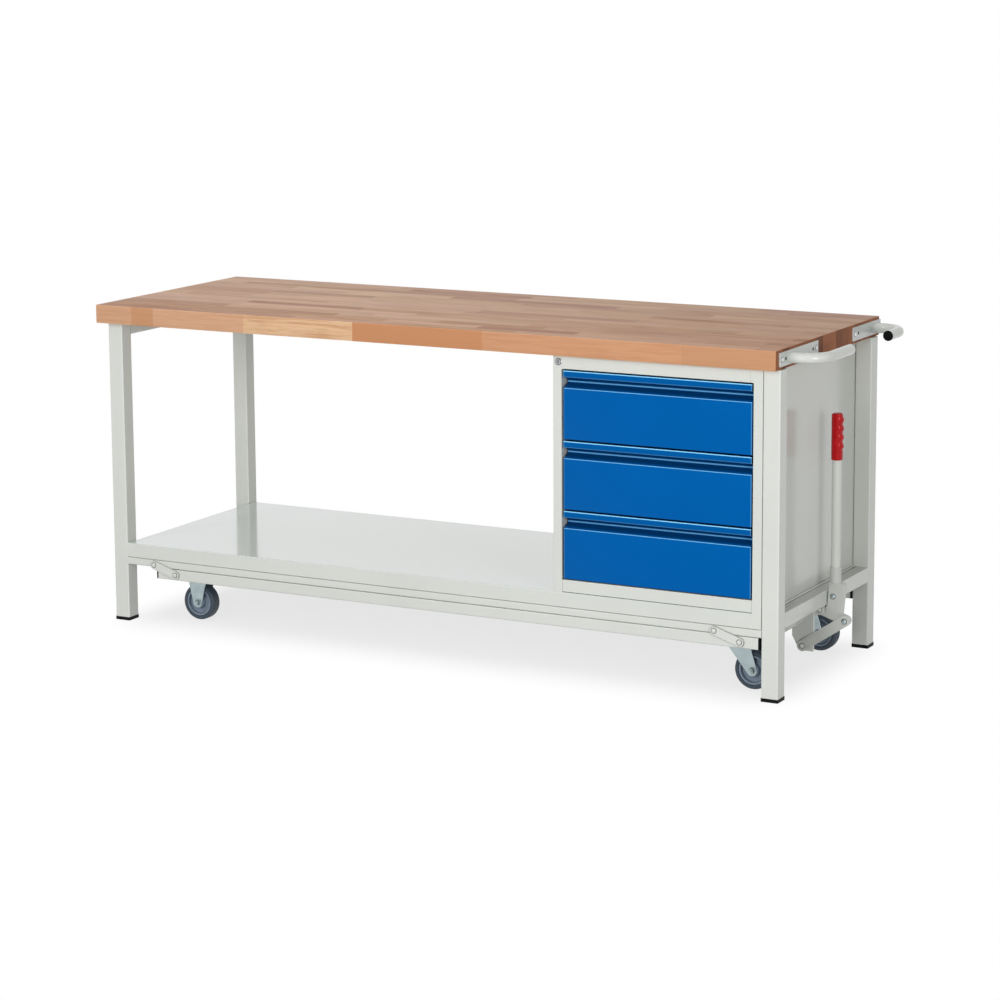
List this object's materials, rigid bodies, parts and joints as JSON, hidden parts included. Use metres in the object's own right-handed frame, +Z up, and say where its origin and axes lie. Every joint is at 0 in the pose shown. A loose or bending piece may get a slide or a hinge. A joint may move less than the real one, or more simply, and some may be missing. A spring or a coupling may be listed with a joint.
{
  "type": "mobile workbench",
  "caption": "Mobile workbench with a thick wooden top, an open shelf bay, a drawer cabinet, push handles and a hand lever that lowers a caster carriage to lift the bench off its feet.",
  "frame": {"origin": "on the floor under the feet, in the middle of the overall outline in length and depth", "axes": "+X along the bench to the end with the push handles and lever, +Y from the user to the back, +Z up"},
  "size_m": [2.1, 0.7, 0.88],
  "materials": {
    "beech": "oiled, satin",
    "light_grey": "powder coat, satin",
    "blue": "powder coat, satin",
    "zinc": "zinc plated",
    "black_plastic": "moulded",
    "red_grip": "dipped, glossy",
    "tyre": "smooth tread",
    "wheel_core": "moulded",
    "chrome": "polished"
  },
  "bodies": {
    "frame": {"worktop": "beech", "leg_front_left": "light_grey", "leg_front_right": "light_grey", "leg_rear_left": "light_grey", "leg_rear_right": "light_grey", "foot_caps": "black_plastic", "cross_rails_left": "light_grey", "cross_rail_right": "light_grey", "lower_rails": "light_grey", "shelf_pan": "light_grey", "cabinet_side_left": "light_grey", "cabinet_side_right": "light_grey", "cabinet_back": "light_grey", "cabinet_head": "light_grey", "cabinet_base": "light_grey", "drawer_runners": "zinc", "lock_housing": "chrome", "lever_bracket": "light_grey", "push_handle_front": "light_grey", "push_handle_rear": "light_grey", "handle_plugs": "black_plastic", "handle_screws": "zinc", "frame_pins": "light_grey"},
    "carriage": {"carriage_rail_front": "light_grey", "carriage_rail_rear": "light_grey", "carriage_end_plugs": "black_plastic", "carriage_cross_left": "light_grey", "carriage_cross_right": "light_grey", "push_bracket": "light_grey", "carriage_pins": "light_grey", "caster_fixed_front": "zinc", "caster_fixed_rear": "zinc", "caster_head_front": "zinc", "caster_head_rear": "zinc"},
    "link_front_left": {"link_front_left": "light_grey"},
    "link_front_right": {"link_front_right": "light_grey"},
    "wheel_left_front": {"tyre_left_front": "tyre", "wheel_left_front": "wheel_core"},
    "swivel_front": {"caster_swivel_front": "zinc"},
    "wheel_right_front": {"tyre_right_front": "tyre", "wheel_right_front": "wheel_core"},
    "link_rear_left": {"link_rear_left": "light_grey"},
    "link_rear_right": {"link_rear_right": "light_grey"},
    "wheel_left_rear": {"tyre_left_rear": "tyre", "wheel_left_rear": "wheel_core"},
    "swivel_rear": {"caster_swivel_rear": "zinc"},
    "wheel_right_rear": {"tyre_right_rear": "tyre", "wheel_right_rear": "wheel_core"},
    "lever": {"lever_base": "light_grey", "lever_tube": "light_grey", "lever_grip": "red_grip", "lever_bolts": "zinc"},
    "push_link": {"push_link": "light_grey"},
    "drawer_1": {"drawer_front_1": "blue", "drawer_tray_1": "blue"},
    "drawer_2": {"drawer_front_2": "blue", "drawer_tray_2": "blue"},
    "drawer_3": {"drawer_front_3": "blue", "drawer_tray_3": "blue"},
    "lock": {"lock_cylinder": "chrome"}
  },
  "joints": [
    {"name": "carriage_lowering", "type": "hinge", "parent": "frame", "child": "link_front_left", "pos_m": [-0.89, -0.333, 0.167], "axis": [0, 1, 0], "range_deg": [0, 90]},
    {"name": "carriage_level", "type": "hinge", "parent": "link_front_left", "child": "carriage", "pos_m": [-0.82152, -0.333, 0.14475], "axis": [0, 1, 0], "range_deg": [-92, 2]},
    {"name": "link_front_right_swing", "type": "hinge", "parent": "frame", "child": "link_front_right", "pos_m": [0.785, -0.333, 0.167], "axis": [0, 1, 0], "range_deg": [-2, 92]},
    {"name": "link_rear_left_swing", "type": "hinge", "parent": "frame", "child": "link_rear_left", "pos_m": [-0.89, 0.333, 0.167], "axis": [0, 1, 0], "range_deg": [-2, 92]},
    {"name": "link_rear_right_swing", "type": "hinge", "parent": "frame", "child": "link_rear_right", "pos_m": [0.785, 0.333, 0.167], "axis": [0, 1, 0], "range_deg": [-2, 92]},
    {"name": "lever_pull", "type": "hinge", "parent": "frame", "child": "lever", "pos_m": [0.93575, 0, 0.1666], "axis": [0, 1, 0], "range_deg": [-2, 92]},
    {"name": "push_link_level", "type": "hinge", "parent": "lever", "child": "push_link", "pos_m": [1.00423, -0.0105, 0.14435], "axis": [0, 1, 0], "range_deg": [-92, 2]},
    {"name": "wheel_left_front_spin", "type": "hinge", "parent": "carriage", "child": "wheel_left_front", "pos_m": [-0.812, -0.22, 0.0504], "axis": [0, 1, 0], "continuous": true},
    {"name": "swivel_front_turn", "type": "hinge", "parent": "carriage", "child": "swivel_front", "pos_m": [0.812, -0.22, 0.0504], "axis": [0, 0, 1], "continuous": true},
    {"name": "wheel_right_front_spin", "type": "hinge", "parent": "swivel_front", "child": "wheel_right_front", "pos_m": [0.848, -0.22, 0.0504], "axis": [0, 1, 0], "continuous": true},
    {"name": "wheel_left_rear_spin", "type": "hinge", "parent": "carriage", "child": "wheel_left_rear", "pos_m": [-0.812, 0.22, 0.0504], "axis": [0, 1, 0], "continuous": true},
    {"name": "swivel_rear_turn", "type": "hinge", "parent": "carriage", "child": "swivel_rear", "pos_m": [0.812, 0.22, 0.0504], "axis": [0, 0, 1], "continuous": true},
    {"name": "wheel_right_rear_spin", "type": "hinge", "parent": "swivel_rear", "child": "wheel_right_rear", "pos_m": [0.848, 0.22, 0.0504], "axis": [0, 1, 0], "continuous": true},
    {"name": "drawer_1_slide", "type": "slide", "parent": "frame", "child": "drawer_1", "axis": [0, -1, 0], "range_m": [0, 0.42]},
    {"name": "drawer_2_slide", "type": "slide", "parent": "frame", "child": "drawer_2", "axis": [0, -1, 0], "range_m": [0, 0.42]},
    {"name": "drawer_3_slide", "type": "slide", "parent": "frame", "child": "drawer_3", "axis": [0, -1, 0], "range_m": [0, 0.42]},
    {"name": "lock_turn", "type": "hinge", "parent": "frame", "child": "lock", "pos_m": [0.353, -0.32, 0.813], "axis": [0, -1, 0], "range_deg": [0, 90]}
  ],
  "couplings": [
    {"joint": "carriage_level", "follows": "carriage_lowering", "ratio": -1},
    {"joint": "link_front_right_swing", "follows": "carriage_lowering", "ratio": 1},
    {"joint": "link_rear_left_swing", "follows": "carriage_lowering", "ratio": 1},
    {"joint": "link_rear_right_swing", "follows": "carriage_lowering", "ratio": 1},
    {"joint": "lever_pull", "follows": "carriage_lowering", "ratio": 1},
    {"joint": "push_link_level", "follows": "carriage_lowering", "ratio": -1}
  ]
}
